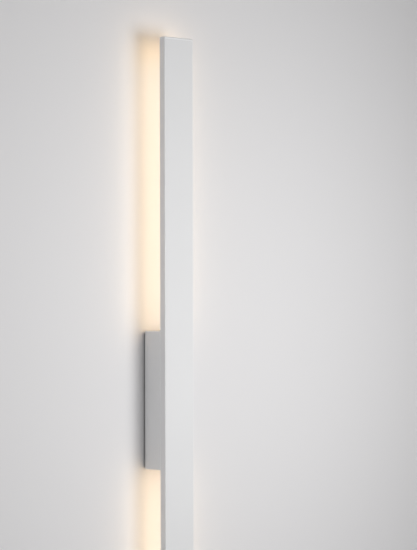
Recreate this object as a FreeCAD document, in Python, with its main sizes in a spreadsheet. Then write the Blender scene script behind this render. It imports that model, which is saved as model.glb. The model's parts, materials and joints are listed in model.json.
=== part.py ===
"""A slim upright wall light: a flat bar that shines back at the wall, held off it by a box at mid-height.

The frame: +Z up, +X to the right seen from the front, +Y into the wall. The origin is the centre of the
wall plate's back face, so the wall is the plane y = 0 and the whole light lies at negative y.
Lengths are millimetres.
"""
import FreeCAD, Part
import math
import os
import Sketcher
from FreeCAD import Placement, Rotation, Vector

os.makedirs("parts", exist_ok=True)
doc = FreeCAD.newDocument("TubeWallLight")
sheet = doc.addObject("Spreadsheet::Sheet", "Sizes")
aliases = []
sub_parts = []


# ---------------------------------------------------------------- sizes

class Size:
    """A length held twice: as a formula of the sheet's cells, and as its present number."""

    def __init__(self, formula, number):
        self.formula = formula
        self.number = number

    def joined(self, sign, other, number):
        return Size(f"({self.formula} {sign} {other.formula})", number)

    def __add__(self, other):
        other = as_size(other)
        return self.joined("+", other, self.number + other.number)

    def __sub__(self, other):
        other = as_size(other)
        return self.joined("-", other, self.number - other.number)

    def __mul__(self, other):
        other = as_size(other)
        return self.joined("*", other, self.number * other.number)

    def __truediv__(self, other):
        other = as_size(other)
        return self.joined("/", other, self.number / other.number)

    def __neg__(self):
        return Size(f"(-1 * {self.formula})", -self.number)


def as_size(value):
    return value if isinstance(value, Size) else Size(f"({float(value)!r})", float(value))


def size(alias, value):
    """Writes one driving dimension into the sheet and returns it for use in formulas."""
    aliases.append(alias)
    row = len(aliases)
    sheet.set(f"A{row}", alias)
    sheet.set(f"B{row}", str(value))
    sheet.setAlias(f"B{row}", alias)
    return Size(f"Sizes.{alias}", float(value))


# the light as a whole
light_height = size("light_height", 900.0)
bar_width = size("bar_width", 48.0)
bar_depth = size("bar_depth", 9.5)
box_height = size("box_height", 172.0)
box_depth = size("box_depth", 28.0)
wall_gap = size("wall_gap", 2.5)
fit_gap = size("fit_gap", 0.3)
close_gap = size("close_gap", 0.05)

# the bar's extruded profile
bar_web = size("bar_web", 1.6)
bar_side = size("bar_side", 1.4)
bar_lip = size("bar_lip", 0.8)
lip_reach = size("lip_reach", 1.0)
groove_width = size("groove_width", 1.9)
port_size = size("port_size", 4.4)
port_radius = size("port_radius", 1.25)
front_round = size("front_round", 0.8)
back_round = size("back_round", 0.4)
end_round = size("end_round", 1.4)

# end caps and their screws
cap_thick = size("cap_thick", 2.0)
tongue_length = size("tongue_length", 3.0)
cap_screw_length = size("cap_screw_length", 11.0)
cap_screw_radius = size("cap_screw_radius", 1.2)
cap_head_radius = size("cap_head_radius", 2.0)
cap_head_height = size("cap_head_height", 1.2)

# light boards, their tape, LEDs and connectors
tape_thick = size("tape_thick", 0.3)
board_width = size("board_width", 16.0)
board_thick = size("board_thick", 1.0)
board_tuck = size("board_tuck", 6.0)
board_end_gap = size("board_end_gap", 4.0)
led_set = size("led_set", 9.0)
led_count = size("led_count", 28)
led_width = size("led_width", 3.5)
led_length = size("led_length", 2.8)
led_thick = size("led_thick", 0.7)
connector_width = size("connector_width", 14.0)
connector_length = size("connector_length", 8.0)
connector_thick = size("connector_thick", 3.2)
diffuser_thick = size("diffuser_thick", 1.8)

# the clamp that holds the bar on the box
clamp_reach_x = size("clamp_reach_x", 12.0)
clamp_set = size("clamp_set", 14.0)
clamp_screw_radius = size("clamp_screw_radius", 1.95)
clamp_head_radius = size("clamp_head_radius", 3.9)
clamp_head_height = size("clamp_head_height", 2.6)
clamp_washer_radius = size("clamp_washer_radius", 4.5)
clamp_washer_thick = size("clamp_washer_thick", 0.8)
clamp_hole_gap = size("clamp_hole_gap", 0.3)

# the grommet that leads the wires into the bar
lead_bore = size("lead_bore", 3.0)
lead_sleeve = size("lead_sleeve", 4.4)
lead_flange = size("lead_flange", 6.0)
lead_flange_thick = size("lead_flange_thick", 1.2)

# the box
housing_wall = size("housing_wall", 1.5)
housing_round = size("housing_round", 0.6)
rim_break = size("rim_break", 0.3)
plate_thick = size("plate_thick", 2.0)
plate_corner = size("plate_corner", 1.5)
tab_width = size("tab_width", 20.0)
tab_depth = size("tab_depth", 12.0)
tab_thick = size("tab_thick", 2.0)
housing_screw_radius = size("housing_screw_radius", 1.5)
housing_screw_length = size("housing_screw_length", 5.0)
housing_head_radius = size("housing_head_radius", 2.85)
housing_head_height = size("housing_head_height", 1.65)
housing_screw_set = size("housing_screw_set", 8.0)

# holes in the wall plate
slot_set = size("slot_set", 9.5)
slot_radius = size("slot_radius", 2.5)
slot_length = size("slot_length", 9.0)
cable_set = size("cable_set", 24.5)
cable_bore = size("cable_bore", 3.75)
cable_sleeve = size("cable_sleeve", 5.3)
cable_flange = size("cable_flange", 7.5)
cable_flange_thick = size("cable_flange_thick", 1.5)

# earth connection
earth_inset = size("earth_inset", 6.0)
earth_set = size("earth_set", 20.5)
earth_screw_radius = size("earth_screw_radius", 1.95)
earth_head_radius = size("earth_head_radius", 3.6)
earth_head_height = size("earth_head_height", 2.4)
earth_sheet = size("earth_sheet", 0.8)
earth_ring = size("earth_ring", 3.8)
barrel_radius = size("barrel_radius", 1.6)
barrel_length = size("barrel_length", 6.0)
barrel_rise = size("barrel_rise", 5.5)

# terminal block
block_width = size("block_width", 33.0)
block_height = size("block_height", 18.0)
block_depth = size("block_depth", 16.0)
block_set = size("block_set", 45.5)
pole_pitch = size("pole_pitch", 11.0)
clamp_block = size("clamp_block", 7.0)
clamp_block_length = size("clamp_block_length", 14.0)
clamp_bore = size("clamp_bore", 1.6)
wire_set = size("wire_set", 7.0)
terminal_screw_radius = size("terminal_screw_radius", 1.3)
terminal_head_radius = size("terminal_head_radius", 1.9)
terminal_head_height = size("terminal_head_height", 1.5)
terminal_screw_reach = size("terminal_screw_reach", 4.5)
fixing_screw_radius = size("fixing_screw_radius", 1.2)
fixing_head_radius = size("fixing_head_radius", 2.4)
fixing_head_height = size("fixing_head_height", 1.6)
fixing_recess = size("fixing_recess", 2.4)

# driver
driver_width = size("driver_width", 36.0)
driver_set_low = size("driver_set_low", 64.5)
driver_set_high = size("driver_set_high", 22.5)
driver_depth = size("driver_depth", 20.0)
driver_wall = size("driver_wall", 1.5)
driver_ear = size("driver_ear", 6.0)
driver_ear_width = size("driver_ear_width", 12.0)
driver_screw_radius = size("driver_screw_radius", 1.45)
driver_head_radius = size("driver_head_radius", 2.7)
driver_head_height = size("driver_head_height", 1.9)
rib_height = size("rib_height", 2.9)
rib_width = size("rib_width", 2.0)
circuit_thick = size("circuit_thick", 1.6)
circuit_margin = size("circuit_margin", 2.0)
transformer_width = size("transformer_width", 18.0)
transformer_length = size("transformer_length", 16.0)
transformer_height = size("transformer_height", 11.5)
input_can_radius = size("input_can_radius", 5.0)
input_can_length = size("input_can_length", 16.0)
output_can_radius = size("output_can_radius", 4.0)
output_can_length = size("output_can_length", 11.0)
can_set = size("can_set", 4.0)
lead_hole_gap = size("lead_hole_gap", 0.3)

# wires and the lamp connector
mains_wire = size("mains_wire", 0.8)
lamp_wire = size("lamp_wire", 0.6)
live_shift = size("live_shift", 2.0)
neutral_shift = size("neutral_shift", 3.0)
output_spread = size("output_spread", 4.0)
lead_spread = size("lead_spread", 1.5)
link_spread = size("link_spread", 4.5)
plug_width = size("plug_width", 10.0)
plug_depth = size("plug_depth", 5.0)
socket_length = size("socket_length", 11.0)
plug_length = size("plug_length", 10.0)
plug_nose = size("plug_nose", 4.0)
plug_wall = size("plug_wall", 1.0)
plug_bottom = size("plug_bottom", 20.0)
doc.recompute()

# ---------------------------------------------------------------- planes that several pieces share

rim_y = -wall_gap
back_y = -(wall_gap + box_depth)
front_y = back_y - bar_depth
web_y = front_y + bar_web
groove_front = back_y - bar_lip - groove_width
groove_back = back_y - bar_lip
inner_back = back_y + housing_wall
plate_y = -plate_thick
bar_half = light_height / 2 - cap_thick
bar_side_x = bar_width / 2
port_x = bar_width / 2 - bar_side - port_size / 2
port_y = (web_y + groove_front) / 2
box_half = box_height / 2
inner_side = bar_width / 2 - housing_wall
inner_half = box_height / 2 - housing_wall
tab_top = inner_half - fit_gap
clamp_reach_z = box_half - clamp_set
board_start = box_half - board_tuck
led_start = board_start + connector_length + led_set
slot_reach = inner_half - slot_set
cable_drop = inner_half - cable_set
earth_side = inner_side - earth_inset
earth_drop = inner_half - earth_set
block_drop = inner_half - block_set
driver_bottom = driver_set_low - inner_half
driver_top = inner_half - driver_set_high
driver_front = plate_y - driver_depth
circuit_y = plate_y - driver_wall - rib_height
circuit_front = circuit_y - circuit_thick
mains_y = plate_y - wire_set
lamp_y = (driver_front + inner_back) / 2
bar_wire_y = (web_y + tape_thick + board_thick) + connector_thick / 2
start_y = web_y + tape_thick + board_thick


# ---------------------------------------------------------------- ways to draw

def bind(thing, name, formula):
    """Ties one property to a formula of the sheet's cells."""
    thing.setExpression(name, as_size(formula).formula)


def put(thing, x=0.0, y=0.0, z=0.0, turn=Rotation()):
    """Sets a piece's placement: a fixed turn, and a place that follows the sheet."""
    thing.Placement = Placement(Vector(0, 0, 0), turn)
    bind(thing, "Placement.Base.x", x)
    bind(thing, "Placement.Base.y", y)
    bind(thing, "Placement.Base.z", z)
    return thing


def block(name, x, y, z):
    """A box between a low and a high value along each axis."""
    thing = doc.addObject("Part::Box", name)
    for side, span in (("Length", x), ("Width", y), ("Height", z)):
        bind(thing, side, as_size(span[1]) - as_size(span[0]))
    return put(thing, x[0], y[0], z[0])


TURN_TO = {
    "+X": Rotation(Vector(0, 1, 0), 90),
    "+Y": Rotation(Vector(1, 0, 0), -90),
    "-Y": Rotation(Vector(1, 0, 0), 90),
    "+Z": Rotation(),
    "-Z": Rotation(Vector(0, 1, 0), 180),
}


def rod(name, towards, radius, length, x=0.0, y=0.0, z=0.0):
    """A cylinder that starts at x, y, z and runs along the named direction."""
    thing = doc.addObject("Part::Cylinder", name)
    bind(thing, "Radius", radius)
    bind(thing, "Height", length)
    return put(thing, x, y, z, TURN_TO[towards])


def join(name, shapes):
    thing = doc.addObject("Part::MultiFuse", name)
    thing.Shapes = shapes
    return thing


def cut(name, base, tools):
    thing = doc.addObject("Part::Cut", name)
    thing.Base = base
    thing.Tool = tools[0] if len(tools) == 1 else join(f"{name}_cutters", tools)
    return thing


def sub_part(label, thing):
    """Names a finished piece; its label is its file name."""
    thing.Label = label
    sub_parts.append(thing)
    return thing


def group(label, pieces):
    """Several separate like pieces kept under one name."""
    thing = doc.addObject("Part::Compound", label)
    thing.Links = pieces
    return sub_part(label, thing)


def screw(name, head, shank, towards, x, y, z, crown=0.35):
    """A screw seated at x, y, z, its head on the named side and its shank away from it.

    head and shank are (radius, length) pairs. The crown is the tapered share of the head's height, and
    the hexagon socket goes a little over half-way into the head.
    """
    head_radius, head_height = head
    shank_radius, shank_length = shank
    skirt_height = head_height * (1 - crown)
    skirt = rod(f"{name}_skirt", "+Z", head_radius, skirt_height)
    stem = rod(f"{name}_shank", "+Z", shank_radius, shank_length, z=-shank_length)
    parts = [skirt, stem]
    if crown:
        top = doc.addObject("Part::Cone", f"{name}_crown")
        bind(top, "Radius1", head_radius)
        bind(top, "Radius2", head_radius * 0.8)
        bind(top, "Height", head_height * crown)
        parts.append(put(top, z=skirt_height))
    recess = doc.addObject("Part::Prism", f"{name}_socket")
    recess.Polygon = 6
    bind(recess, "Circumradius", head_radius * 0.55)
    bind(recess, "Height", head_height)
    put(recess, z=head_height * 0.4)
    solid = cut(name, join(f"{name}_solid", parts), [recess])
    return put(solid, x, y, z, TURN_TO[towards])


def washer(name, outer, bore, thick, towards, x, y, z):
    disc = rod(f"{name}_disc", "+Z", outer, thick)
    hole = rod(f"{name}_hole", "+Z", bore, thick * 3, z=-thick)
    return put(cut(name, disc, [hole]), x, y, z, TURN_TO[towards])


class Sketch:
    """A sketch on one of its body's origin planes, moved along the plane's normal."""

    def __init__(self, body, role, offset):
        plane = next(face for face in body.Origin.OriginFeatures if face.Role == role)
        self.sketch = body.newObject("Sketcher::SketchObject", f"{body.Name}_sketch")
        self.sketch.AttachmentSupport = [(plane, "")]
        self.sketch.MapMode = "FlatFace"
        bind(self.sketch, "AttachmentOffset.Base.z", offset)

    def tie(self, kind, element, vertex, value):
        """Places a point of the sketch at a formula, measured from the sketch's origin."""
        row = self.sketch.addConstraint(
            Sketcher.Constraint(kind, -1, 1, element, vertex, as_size(value).number))
        self.sketch.setExpression(f"Constraints[{row}]", as_size(value).formula)

    def outline(self, points):
        """A closed outline of straight lines through the points."""
        places = [Vector(as_size(u).number, as_size(v).number, 0) for u, v in points]
        lines = [self.sketch.addGeometry(Part.LineSegment(places[i], places[(i + 1) % len(places)]), False)
                 for i in range(len(places))]
        for i, line in enumerate(lines):
            following = lines[(i + 1) % len(lines)]
            self.sketch.addConstraint(Sketcher.Constraint("Coincident", line, 2, following, 1))
            self.tie("DistanceX", line, 1, points[i][0])
            self.tie("DistanceY", line, 1, points[i][1])

    def rectangle(self, u, v):
        self.outline([(u[0], v[0]), (u[1], v[0]), (u[1], v[1]), (u[0], v[1])])

    def circle(self, u, v, radius):
        centre = Vector(as_size(u).number, as_size(v).number, 0)
        ring = self.sketch.addGeometry(Part.Circle(centre, Vector(0, 0, 1), as_size(radius).number), False)
        self.tie("DistanceX", ring, 3, u)
        self.tie("DistanceY", ring, 3, v)
        row = self.sketch.addConstraint(Sketcher.Constraint("Radius", ring, as_size(radius).number))
        self.sketch.setExpression(f"Constraints[{row}]", as_size(radius).formula)

    def upright_slot(self, u, v, radius, reach):
        """A slot centred at u, v whose round ends have their centres reach above and below."""
        across, up = as_size(u).number, as_size(v).number
        half, bend = as_size(reach).number, as_size(radius).number
        normal = Vector(0, 0, 1)
        top = Part.ArcOfCircle(Part.Circle(Vector(across, up + half, 0), normal, bend), 0, math.pi)
        low = Part.ArcOfCircle(Part.Circle(Vector(across, up - half, 0), normal, bend), math.pi, 2 * math.pi)
        left = Part.LineSegment(Vector(across - bend, up + half, 0), Vector(across - bend, up - half, 0))
        right = Part.LineSegment(Vector(across + bend, up - half, 0), Vector(across + bend, up + half, 0))
        arc_top, side_left, arc_low, side_right = (self.sketch.addGeometry(edge, False)
                                                   for edge in (top, left, low, right))
        for first, end, second, start in ((arc_top, 2, side_left, 1), (side_left, 2, arc_low, 1),
                                          (arc_low, 2, side_right, 1), (side_right, 2, arc_top, 1)):
            self.sketch.addConstraint(Sketcher.Constraint("Tangent", first, end, second, start))
        self.tie("DistanceX", arc_top, 3, u)
        self.tie("DistanceY", arc_top, 3, as_size(v) + reach)
        self.tie("DistanceX", arc_low, 3, u)
        self.tie("DistanceY", arc_low, 3, as_size(v) - reach)
        row = self.sketch.addConstraint(Sketcher.Constraint("Radius", arc_top, bend))
        self.sketch.setExpression(f"Constraints[{row}]", as_size(radius).formula)


class Body:
    """A sub-part made of sketched features.

    Plans are drawn seen from above (x, y) and grow up along z; fronts are drawn seen from the front
    (x, z) and grow along y. Both take the low and the high end of what they make.
    """

    def __init__(self, label):
        self.body = doc.addObject("PartDesign::Body", label)
        sub_part(label, self.body)

    def plan(self, kind, low, high):
        return self.feature(kind, "XY_Plane", low, high)

    def front(self, kind, low, high):
        return self.feature(kind, "XZ_Plane", -as_size(high), -as_size(low))

    def feature(self, kind, role, low, high):
        """Adds a pad or a pocket that fills the span from low to high along the plane's normal."""
        drawing = Sketch(self.body, role, low)
        feature = self.body.newObject(f"PartDesign::{kind}", f"{self.body.Name}_{kind.lower()}")
        feature.Profile = drawing.sketch
        feature.Reversed = kind == "Pocket"
        bind(feature, "Length", as_size(high) - as_size(low))
        return drawing

    def soften(self, kind, amount, chosen):
        """Rounds or bevels the edges that the test picks from the shape so far."""
        doc.recompute()
        base = self.body.Tip
        names = [f"Edge{i + 1}" for i, edge in enumerate(base.Shape.Edges) if chosen(edge)]
        feature = self.body.newObject(f"PartDesign::{kind}", f"{self.body.Name}_{kind.lower()}")
        feature.Base = (base, names)
        bind(feature, "Radius" if kind == "Fillet" else "Size", amount)

    def repeat(self, kind, features, settings):
        feature = self.body.newObject(f"PartDesign::{kind}", f"{self.body.Name}_{kind.lower()}")
        feature.Originals = features
        for name, value in settings.items():
            setattr(feature, name, value)
        self.body.Tip = feature
        return feature


def near(value, target):
    return abs(value - as_size(target).number) < 1e-4


def upright_at(x, y):
    """Picks the vertical edges at plus or minus x and at y."""
    def chosen(edge):
        spot, box = edge.CenterOfMass, edge.BoundBox
        return near(abs(spot.x), x) and near(spot.y, y) and max(box.XLength, box.YLength) < 1e-4
    return chosen


def along_y_at(x, z):
    """Picks the edges that run towards the wall at plus or minus x and z."""
    def chosen(edge):
        spot, box = edge.CenterOfMass, edge.BoundBox
        return near(abs(spot.x), x) and near(abs(spot.z), z) and max(box.XLength, box.ZLength) < 1e-4
    return chosen


def wire_path(points):
    """Straight runs joined by tangent arcs, each as large as its two runs allow."""
    spots = [Vector(*[as_size(value).number for value in point]) for point in points]
    edges, start = [], spots[0]
    for before, corner, after in zip(spots, spots[1:], spots[2:]):
        run_in, run_out = (corner - before), (after - corner)
        half_turn = run_in.getAngle(run_out) / 2
        setback = 0.45 * min(run_in.Length, run_out.Length)
        radius = setback / math.tan(half_turn)
        run_in.normalize()
        run_out.normalize()
        arc_start, arc_end = corner - run_in * setback, corner + run_out * setback
        inward = (run_out - run_in).normalize()
        middle = corner + inward * (radius / math.cos(half_turn) - radius)
        edges.append(Part.LineSegment(start, arc_start).toShape())
        edges.append(Part.Arc(arc_start, middle, arc_end).toShape())
        start = arc_end
    edges.append(Part.LineSegment(start, spots[-1]).toShape())
    return Part.Wire(edges)


def wire(label, radius, points):
    """An insulated wire along its route, as one swept tube."""
    path = wire_path(points)
    first = path.Edges[0]
    direction = first.tangentAt(first.FirstParameter)
    ring = Part.Wire([Part.Circle(path.Vertexes[0].Point, direction, radius.number).toShape()])
    thing = doc.addObject("Part::Feature", label)
    thing.Shape = path.makePipeShell([ring], True, False)
    thing.Placement = Placement()
    expected = math.pi * radius.number ** 2 * path.Length
    print(f"{label}: length {path.Length:.1f}, volume {thing.Shape.Volume / expected:.4f} of its section's")
    return sub_part(label, thing)


# ---------------------------------------------------------------- the bar

def bar_profile():
    """An open channel: front web, two sides, a groove for the diffusers and four-cornered screw ports."""
    bar = Body("bar_profile")
    lip_x = bar_side_x - bar_side - lip_reach
    wall_x = bar_side_x - bar_side
    inner_x = wall_x - port_size
    right = [(bar_side_x, front_y), (bar_side_x, back_y), (lip_x, back_y), (lip_x, groove_back),
             (wall_x, groove_back), (wall_x, groove_front), (inner_x, groove_front), (inner_x, web_y)]
    left = [(-x, y) for x, y in reversed(right)]
    section = bar.plan("Pad", -bar_half, bar_half)
    section.outline(right + left)
    for x in (port_x, -port_x):
        section.circle(x, port_y, port_radius)
    bar.soften("Fillet", front_round, upright_at(bar_side_x, front_y))
    bar.soften("Fillet", back_round, upright_at(bar_side_x, back_y))


def end_cap(label, turn, end_z):
    """A plate with the bar's outline and a tongue between the screw ports, drawn at the upper end."""
    cap = Body(label)
    cap.plan("Pad", 0, cap_thick).rectangle((-bar_side_x, bar_side_x), (front_y, back_y))
    tongue_x = port_x - port_size / 2 - fit_gap
    tongue = (web_y + fit_gap, groove_front - fit_gap)
    cap.plan("Pad", -tongue_length, 0).rectangle((-tongue_x, tongue_x), tongue)
    holes = cap.plan("Pocket", 0, cap_thick)
    for x in (port_x, -port_x):
        holes.circle(x, port_y, cap_screw_radius + close_gap)
    seats = cap.plan("Pocket", cap_thick - cap_head_height, cap_thick)
    for x in (port_x, -port_x):
        seats.circle(x, port_y, cap_head_radius + close_gap)
    cap.soften("Fillet", front_round, upright_at(bar_side_x, front_y))
    cap.soften("Fillet", back_round, upright_at(bar_side_x, back_y))
    cap.soften("Fillet", end_round, lambda edge: near(edge.BoundBox.ZMin, cap_thick) and not edge.isClosed())
    put(cap.body, z=end_z, turn=turn)


def end_cap_screws():
    screws = []
    seat = bar_half + cap_thick - cap_head_height
    for end in (1, -1):
        for side in (1, -1):
            towards = "+Z" if end > 0 else "-Z"
            screws.append(screw(f"cap_screw_{end + 1}{side + 1}", (cap_head_radius, cap_head_height),
                                (cap_screw_radius, cap_screw_length), towards,
                                port_x * side, port_y, seat * end, crown=0))
    group("end_cap_screws", screws)


def light_board(prefix, turn):
    """One lit half of the bar: tape, board, LEDs, wire connector and diffuser, drawn as the upper half."""
    side = board_width / 2
    board_end = bar_half - board_end_gap
    board_y = web_y + tape_thick

    tape = Body(f"{prefix}_board_tape")
    tape.plan("Pad", board_start, board_end).rectangle((-side, side), (web_y, board_y))
    put(tape.body, turn=turn)

    board = Body(f"{prefix}_led_board")
    board.plan("Pad", board_start, board_end).rectangle((-side, side), (board_y, start_y))
    put(board.body, turn=turn)

    leds = Body(f"{prefix}_leds")
    half_wide = led_width / 2
    chip = leds.plan("Pad", led_start, led_start + led_length)
    chip.rectangle((-half_wide, half_wide), (start_y, start_y + led_thick))
    row = leds.repeat("LinearPattern", [leds.body.Tip], {"Direction": (chip.sketch, ["N_Axis"])})
    bind(row, "Length", board_end - led_start - led_length - led_length)
    bind(row, "Occurrences", led_count)
    put(leds.body, turn=turn)

    connector = Body(f"{prefix}_board_connector")
    half_wide = connector_width / 2
    top = board_start + connector_length
    shell = connector.plan("Pad", board_start, top)
    shell.rectangle((-half_wide, half_wide), (start_y, start_y + connector_thick))
    holes = connector.plan("Pocket", board_start, top - connector_length / 2)
    for x in (lead_spread, -lead_spread, link_spread, -link_spread):
        holes.circle(x, bar_wire_y, lamp_wire + close_gap)
    put(connector.body, turn=turn)

    diffuser = Body(f"{prefix}_diffuser")
    half_wide = bar_side_x - bar_side - close_gap
    low_y = groove_front + close_gap
    diffuser.plan("Pad", box_half, bar_half - close_gap).rectangle((-half_wide, half_wide),
                                                                   (low_y, low_y + diffuser_thick))
    put(diffuser.body, turn=turn)


def clamp():
    """The nut plate in the bar's groove, and the screws that pull it against the box."""
    slider = Body("clamp_slider")
    half = box_half - fit_gap
    wing_x = bar_side_x - bar_side - close_gap
    pad_x = bar_side_x - bar_side - lip_reach - close_gap * 2
    wing_y = groove_front + close_gap
    slider.front("Pad", wing_y, wing_y + diffuser_thick).rectangle((-wing_x, wing_x), (-half, half))
    slider.front("Pad", wing_y, back_y - close_gap).rectangle((-pad_x, pad_x), (-half, half))
    threads = slider.front("Pocket", wing_y, back_y)
    spots = [(x, z) for x in (clamp_reach_x, -clamp_reach_x) for z in (clamp_reach_z, -clamp_reach_z)]
    for x, z in spots:
        threads.circle(x, z, clamp_screw_radius + close_gap)
    slider.front("Pocket", wing_y, back_y).circle(0, 0, lead_sleeve + close_gap)

    under_head = inner_back + clamp_washer_thick
    shank = under_head - wing_y
    washers, screws = [], []
    for i, (x, z) in enumerate(spots):
        washers.append(washer(f"clamp_washer_{i}", clamp_washer_radius, clamp_screw_radius + close_gap,
                              clamp_washer_thick, "+Y", x, inner_back, z))
        screws.append(screw(f"clamp_screw_{i}", (clamp_head_radius, clamp_head_height),
                            (clamp_screw_radius, shank), "+Y", x, under_head, z))
    group("clamp_washers", washers)
    group("clamp_screws", screws)


def bar_grommet():
    """A rubber bush in the box's front wall, its sleeve reaching through the nut plate."""
    sleeve_length = inner_back - (groove_front + close_gap)
    sleeve = rod("lead_sleeve_rod", "-Y", lead_sleeve - close_gap, sleeve_length, y=inner_back)
    flange = rod("lead_flange_rod", "+Y", lead_flange, lead_flange_thick, y=inner_back)
    flange_y = inner_back + lead_flange_thick
    bore = rod("lead_bore_rod", "-Y", lead_bore, sleeve_length + lead_flange_thick * 2, y=flange_y)
    sub_part("bar_grommet", cut("bar_grommet", join("lead_bush", [sleeve, flange]), [bore]))


# ---------------------------------------------------------------- the box and its wall plate

def box_housing():
    """The shell that carries the bar, open towards the wall, as wide as the bar."""
    housing = Body("box_housing")
    housing.front("Pad", back_y, rim_y).rectangle((-bar_side_x, bar_side_x), (-box_half, box_half))
    housing.soften("Fillet", housing_round, along_y_at(bar_side_x, box_half))
    housing.soften("Chamfer", rim_break, lambda edge: near(edge.BoundBox.YMin, rim_y))
    hollow = housing.front("Pocket", inner_back, rim_y)
    hollow.rectangle((-inner_side, inner_side), (-inner_half, inner_half))
    holes = housing.front("Pocket", back_y, inner_back)
    for x in (clamp_reach_x, -clamp_reach_x):
        for z in (clamp_reach_z, -clamp_reach_z):
            holes.circle(x, z, clamp_screw_radius + clamp_hole_gap)
    holes.circle(0, 0, lead_sleeve)
    fixing = housing.plan("Pocket", -box_half, box_half)
    fixing.circle(0, -housing_screw_set, housing_screw_radius + clamp_hole_gap / 2)


def housing_screws():
    pieces = []
    for end, towards in ((1, "+Z"), (-1, "-Z")):
        pieces.append(screw(f"housing_screw_{end + 1}", (housing_head_radius, housing_head_height),
                            (housing_screw_radius, housing_screw_length), towards,
                            0, -housing_screw_set, box_half * end))
    group("housing_screws", pieces)


def driver_ear_z(end):
    middle = driver_top + driver_ear / 2
    return middle if end > 0 else driver_bottom - driver_ear / 2


def wall_plate():
    """The steel plate on the wall: two slots for wall screws, a cable hole and a bent tab at each end."""
    plate = Body("wall_plate")
    side, end = inner_side - fit_gap, inner_half - fit_gap
    plate.front("Pad", plate_y, 0).rectangle((-side, side), (-end, end))
    plate.soften("Fillet", plate_corner, along_y_at(side, end))
    half_tab = tab_width / 2
    for low, high in ((tab_top - tab_thick, tab_top), (-tab_top, -(tab_top - tab_thick))):
        plate.front("Pad", -tab_depth, plate_y / 2).rectangle((-half_tab, half_tab), (low, high))
    threads = plate.plan("Pocket", -tab_top, tab_top)
    threads.circle(0, -housing_screw_set, housing_screw_radius + close_gap)
    slots = plate.front("Pocket", plate_y, 0)
    for z in (slot_reach, -slot_reach):
        slots.upright_slot(0, z, slot_radius, slot_length / 2 - slot_radius)
    holes = plate.front("Pocket", plate_y, 0)
    holes.circle(0, -cable_drop, cable_sleeve + close_gap)
    holes.circle(-earth_side, -earth_drop, earth_screw_radius + close_gap)
    for end_sign in (1, -1):
        holes.circle(0, driver_ear_z(end_sign), driver_screw_radius + close_gap)
        holes.circle(pole_pitch / 2 * end_sign, -block_drop, fixing_screw_radius + close_gap)


def cable_grommet():
    """A rubber bush that lines the plate's cable hole, flush with the plate's back."""
    start = plate_y - cable_flange_thick
    sleeve_length = plate_thick - close_gap * 2
    flange = rod("cable_flange_rod", "-Y", cable_flange, cable_flange_thick, y=plate_y, z=-cable_drop)
    sleeve = rod("cable_sleeve_rod", "+Y", cable_sleeve, sleeve_length, y=plate_y, z=-cable_drop)
    bore = rod("cable_bore_rod", "+Y", cable_bore, cable_flange_thick + plate_thick, y=start, z=-cable_drop)
    sub_part("cable_grommet", cut("cable_grommet", join("cable_bush", [flange, sleeve]), [bore]))


def earth_point():
    """The lug on the plate that the earth wire ends in, under its washer and screw."""
    x, z = -earth_side, -earth_drop
    lug_front = plate_y - earth_sheet
    ring = rod("earth_ring_disc", "-Y", earth_ring, earth_sheet, x, plate_y, z)
    half = barrel_radius * 0.9
    tongue = block("earth_tongue", (x - half, x + half), (lug_front, plate_y), (z, z + barrel_rise + 1))
    barrel_y = plate_y - barrel_radius
    barrel = rod("earth_barrel", "+Z", barrel_radius, barrel_length, x, barrel_y, z + barrel_rise)
    eye = rod("earth_eye", "-Y", earth_screw_radius + close_gap, earth_sheet, x, plate_y, z)
    mouth = rod("earth_mouth", "+Z", mains_wire + close_gap, barrel_length, x, barrel_y, z + barrel_rise + 1)
    sub_part("earth_lug", cut("earth_lug", join("earth_lug_solid", [ring, tongue, barrel]), [eye, mouth]))
    sub_part("earth_washer", washer("earth_washer", earth_head_radius, earth_screw_radius + close_gap,
                                    earth_sheet, "-Y", x, lug_front, z))
    seat = lug_front - earth_sheet
    sub_part("earth_screw", screw("earth_screw", (earth_head_radius, earth_head_height),
                                  (earth_screw_radius, -seat - close_gap * 4), "-Y", x, seat, z))
    return barrel_y, z + barrel_rise + barrel_length


# ---------------------------------------------------------------- terminal block

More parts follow.
